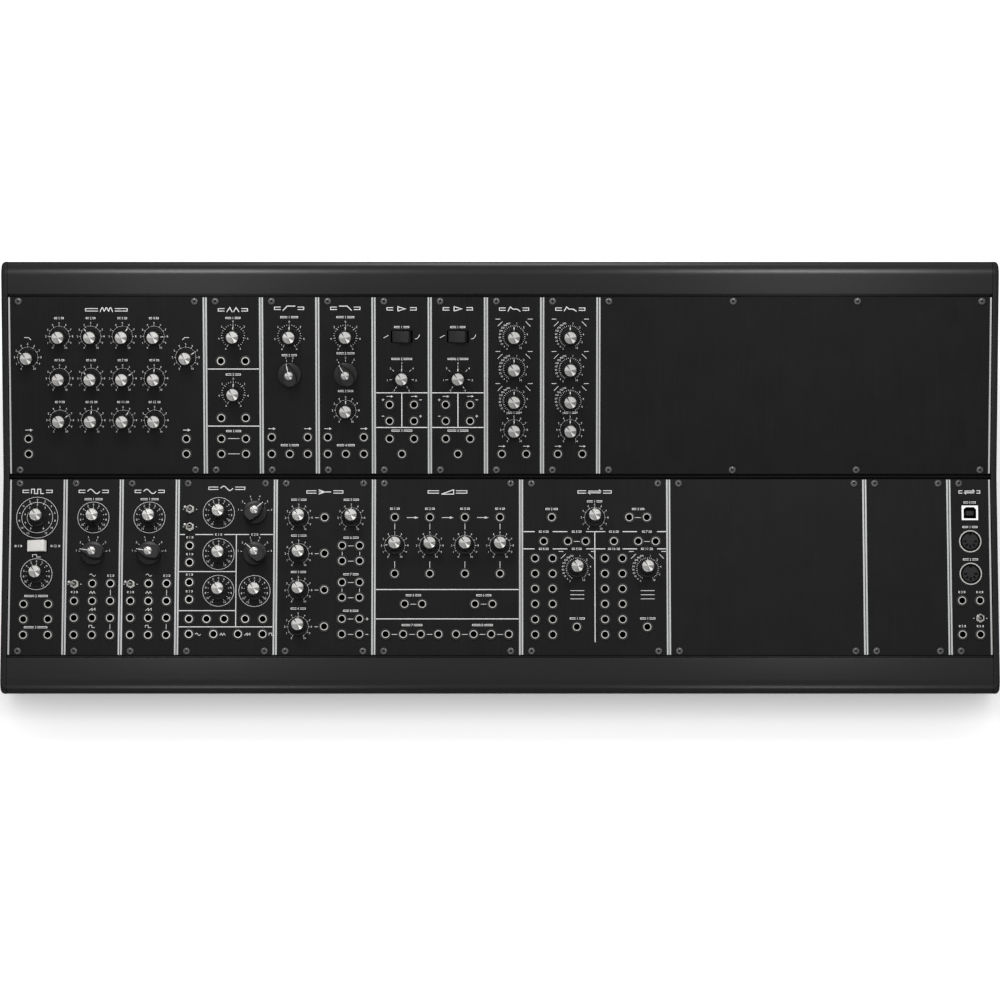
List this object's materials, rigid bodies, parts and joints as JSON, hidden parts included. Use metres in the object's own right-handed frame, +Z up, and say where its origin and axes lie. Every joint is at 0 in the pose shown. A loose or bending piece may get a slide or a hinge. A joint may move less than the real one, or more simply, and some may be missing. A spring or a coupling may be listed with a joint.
{
  "type": "modular synthesizer",
  "caption": "Two-row modular synthesizer in a kinked metal case on a folding stand, with panels of turning knobs, switches and mini jack sockets.",
  "frame": {"origin": "on the table, under the middle of the whole part as it stands on its stand", "axes": "+X to the player's right along the rows, +Y to the rear, +Z up"},
  "size_m": [0.7214, 0.3022, 0.1937],
  "materials": {
    "black_anodised": "fine blasted black anodised aluminium, satin",
    "panel_black": "black printed aluminium panel, satin, with bare bright edges",
    "black_plastic": "black moulded plastic",
    "white_plastic": "white moulded plastic",
    "bright_steel": "bright nickel plated metal",
    "coated_steel": "black powder coated steel",
    "tray_black": "black powder coated sheet",
    "black_rubber": "matt black rubber",
    "board_green": "green circuit board with black connectors"
  },
  "bodies": {
    "case": {"lower_nose_rail": "black_anodised", "oscillator_driver_panel": "panel_black", "oscillator_1_panel": "panel_black", "oscillator_2_panel": "panel_black", "main_oscillator_panel": "panel_black", "mixer_panel": "panel_black", "attenuators_panel": "panel_black", "interface_panel": "panel_black", "wide_blank_panel": "panel_black", "narrow_blank_panel": "panel_black", "midi_panel": "panel_black", "upper_nose_rail": "black_anodised", "filter_bank_panel": "panel_black", "filters_panel": "panel_black", "high_pass_panel": "panel_black", "low_pass_panel": "panel_black", "amplifier_1_panel": "panel_black", "amplifier_2_panel": "panel_black", "envelope_1_panel": "panel_black", "envelope_2_panel": "panel_black", "upper_blank_panel": "panel_black", "bus_board": "board_green", "left_stand_bracket": "coated_steel", "right_stand_bracket": "coated_steel", "power_plate": "black_plastic", "centre_rail": "black_anodised", "bottom_tray": "tray_black", "front_foot_strip": "black_rubber", "kink_foot_strip": "black_rubber", "left_cheek": "black_anodised", "right_cheek": "black_anodised"},
    "oscillator_driver_tune_knob": {"oscillator_driver_tune_knob": "black_plastic"},
    "oscillator_driver_rocker": {"oscillator_driver_rocker": "white_plastic"},
    "oscillator_1_range_pointer": {"oscillator_1_range_pointer": "black_plastic"},
    "oscillator_1_lever": {"oscillator_1_lever": "bright_steel"},
    "oscillator_2_range_pointer": {"oscillator_2_range_pointer": "black_plastic"},
    "oscillator_2_lever": {"oscillator_2_lever": "bright_steel"},
    "main_oscillator_tune_knob": {"main_oscillator_tune_knob": "black_plastic"},
    "main_oscillator_range_pointer": {"main_oscillator_range_pointer": "black_plastic"},
    "main_oscillator_lever": {"main_oscillator_lever": "bright_steel"},
    "mixer_master_knob": {"mixer_master_knob": "black_plastic"},
    "attenuator_knob": {"attenuator_knob": "black_plastic"},
    "interface_level_knob": {"interface_level_knob": "black_plastic"},
    "midi_lever": {"midi_lever": "bright_steel"},
    "filter_bank_low_knob": {"filter_bank_low_knob": "black_plastic"},
    "filter_bank_high_knob": {"filter_bank_high_knob": "black_plastic"},
    "filters_cutoff_knob": {"filters_cutoff_knob": "black_plastic"},
    "high_pass_cutoff_knob": {"high_pass_cutoff_knob": "black_plastic"},
    "high_pass_range_pointer": {"high_pass_range_pointer": "black_plastic"},
    "low_pass_cutoff_knob": {"low_pass_cutoff_knob": "black_plastic"},
    "low_pass_range_pointer": {"low_pass_range_pointer": "black_plastic"},
    "amplifier_1_rocker": {"amplifier_1_rocker": "black_plastic"},
    "amplifier_1_gain_knob": {"amplifier_1_gain_knob": "black_plastic"},
    "amplifier_2_rocker": {"amplifier_2_rocker": "black_plastic"},
    "amplifier_2_gain_knob": {"amplifier_2_gain_knob": "black_plastic"},
    "envelope_1_attack_knob": {"envelope_1_attack_knob": "black_plastic"},
    "envelope_2_attack_knob": {"envelope_2_attack_knob": "black_plastic"},
    "power_rocker": {"power_rocker": "black_plastic"},
    "stand": {"stand": "coated_steel", "stand_sleeve": "black_rubber"}
  },
  "joints": [
    {"name": "oscillator_driver_tune_knob_turn", "type": "hinge", "parent": "case", "child": "oscillator_driver_tune_knob", "pos_m": [-0.33528, -0.03276, 0.09557], "axis": [0, 0.342, -0.9397], "range_deg": [-150, 150]},
    {"name": "oscillator_driver_rocker_tip", "type": "hinge", "parent": "case", "child": "oscillator_driver_rocker", "pos_m": [-0.33528, -0.05164, 0.08657], "axis": [0, 0.9397, 0.342], "range_deg": [0, 20]},
    {"name": "oscillator_1_range_pointer_turn", "type": "hinge", "parent": "case", "child": "oscillator_1_range_pointer", "pos_m": [-0.29464, -0.05739, 0.08661], "axis": [0, 0.342, -0.9397], "range_deg": [0, 160]},
    {"name": "oscillator_1_lever_tip", "type": "hinge", "parent": "case", "child": "oscillator_1_lever", "pos_m": [-0.30768, -0.07873, 0.07948], "axis": [0, 0.9397, 0.342], "range_deg": [0, 28]},
    {"name": "oscillator_2_range_pointer_turn", "type": "hinge", "parent": "case", "child": "oscillator_2_range_pointer", "pos_m": [-0.254, -0.05739, 0.08661], "axis": [0, 0.342, -0.9397], "range_deg": [0, 160]},
    {"name": "oscillator_2_lever_tip", "type": "hinge", "parent": "case", "child": "oscillator_2_lever", "pos_m": [-0.26704, -0.07873, 0.07948], "axis": [0, 0.9397, 0.342], "range_deg": [0, 28]},
    {"name": "main_oscillator_tune_knob_turn", "type": "hinge", "parent": "case", "child": "main_oscillator_tune_knob", "pos_m": [-0.20381, -0.0295, 0.09676], "axis": [0, 0.342, -0.9397], "range_deg": [-150, 150]},
    {"name": "main_oscillator_range_pointer_turn", "type": "hinge", "parent": "case", "child": "main_oscillator_range_pointer", "pos_m": [-0.17757, -0.02926, 0.09685], "axis": [0, 0.342, -0.9397], "range_deg": [-128, 32]},
    {"name": "main_oscillator_lever_tip", "type": "hinge", "parent": "case", "child": "main_oscillator_lever", "pos_m": [-0.22465, -0.02717, 0.09824], "axis": [0, 0.9397, 0.342], "range_deg": [0, 28]},
    {"name": "mixer_master_knob_turn", "type": "hinge", "parent": "case", "child": "mixer_master_knob", "pos_m": [-0.1078, -0.03276, 0.09557], "axis": [0, 0.342, -0.9397], "range_deg": [-150, 150]},
    {"name": "attenuator_knob_turn", "type": "hinge", "parent": "case", "child": "attenuator_knob", "pos_m": [-0.07619, -0.05184, 0.08863], "axis": [0, 0.342, -0.9397], "range_deg": [-60, 240]},
    {"name": "interface_level_knob_turn", "type": "hinge", "parent": "case", "child": "interface_level_knob", "pos_m": [0.06858, -0.03264, 0.09562], "axis": [0, 0.342, -0.9397], "range_deg": [-150, 150]},
    {"name": "midi_lever_tip", "type": "hinge", "parent": "case", "child": "midi_lever", "pos_m": [0.34682, -0.10204, 0.071], "axis": [0, 0.9397, 0.342], "range_deg": [0, 28]},
    {"name": "filter_bank_low_knob_turn", "type": "hinge", "parent": "case", "child": "filter_bank_low_knob", "pos_m": [-0.34166, 0.06641, 0.15604], "axis": [0, 0.5779, -0.8161], "range_deg": [-90, 210]},
    {"name": "filter_bank_high_knob_turn", "type": "hinge", "parent": "case", "child": "filter_bank_high_knob", "pos_m": [-0.2273, 0.06641, 0.15604], "axis": [0, 0.5779, -0.8161], "range_deg": [-210, 90]},
    {"name": "filters_cutoff_knob_turn", "type": "hinge", "parent": "case", "child": "filters_cutoff_knob", "pos_m": [-0.19304, 0.079, 0.16495], "axis": [0, 0.5779, -0.8161], "range_deg": [-150, 150]},
    {"name": "high_pass_cutoff_knob_turn", "type": "hinge", "parent": "case", "child": "high_pass_cutoff_knob", "pos_m": [-0.1524, 0.07879, 0.16481], "axis": [0, 0.5779, -0.8161], "range_deg": [-150, 150]},
    {"name": "high_pass_range_pointer_turn", "type": "hinge", "parent": "case", "child": "high_pass_range_pointer", "pos_m": [-0.1524, 0.05624, 0.14884], "axis": [0, 0.5779, -0.8161], "range_deg": [0, 24]},
    {"name": "low_pass_cutoff_knob_turn", "type": "hinge", "parent": "case", "child": "low_pass_cutoff_knob", "pos_m": [-0.11176, 0.07879, 0.16481], "axis": [0, 0.5779, -0.8161], "range_deg": [-150, 150]},
    {"name": "low_pass_range_pointer_turn", "type": "hinge", "parent": "case", "child": "low_pass_range_pointer", "pos_m": [-0.11176, 0.05624, 0.14884], "axis": [0, 0.5779, -0.8161], "range_deg": [0, 60]},
    {"name": "amplifier_1_rocker_tip", "type": "hinge", "parent": "case", "child": "amplifier_1_rocker", "pos_m": [-0.07112, 0.07984, 0.1631], "axis": [0, 0.8161, 0.5779], "range_deg": [0, 20]},
    {"name": "amplifier_1_gain_knob_turn", "type": "hinge", "parent": "case", "child": "amplifier_1_gain_knob", "pos_m": [-0.07112, 0.05425, 0.14743], "axis": [0, 0.5779, -0.8161], "range_deg": [-150, 150]},
    {"name": "amplifier_2_rocker_tip", "type": "hinge", "parent": "case", "child": "amplifier_2_rocker", "pos_m": [-0.03048, 0.07984, 0.1631], "axis": [0, 0.8161, 0.5779], "range_deg": [0, 20]},
    {"name": "amplifier_2_gain_knob_turn", "type": "hinge", "parent": "case", "child": "amplifier_2_gain_knob", "pos_m": [-0.03048, 0.05425, 0.14743], "axis": [0, 0.5779, -0.8161], "range_deg": [-150, 150]},
    {"name": "envelope_1_attack_knob_turn", "type": "hinge", "parent": "case", "child": "envelope_1_attack_knob", "pos_m": [0.01016, 0.07868, 0.16473], "axis": [0, 0.5779, -0.8161], "range_deg": [-150, 150]},
    {"name": "envelope_2_attack_knob_turn", "type": "hinge", "parent": "case", "child": "envelope_2_attack_knob", "pos_m": [0.0508, 0.07868, 0.16473], "axis": [0, 0.5779, -0.8161], "range_deg": [-150, 150]},
    {"name": "power_rocker_tip", "type": "hinge", "parent": "case", "child": "power_rocker", "pos_m": [-0.284, 0.13066, 0.16728], "axis": [0, -0.3955, 0.9184], "range_deg": [0, 16]},
    {"name": "stand_fold", "type": "hinge", "parent": "case", "child": "stand", "pos_m": [0, 0.13492, 0.12184], "axis": [1, 0, 0], "range_deg": [-59, 0]}
  ]
}
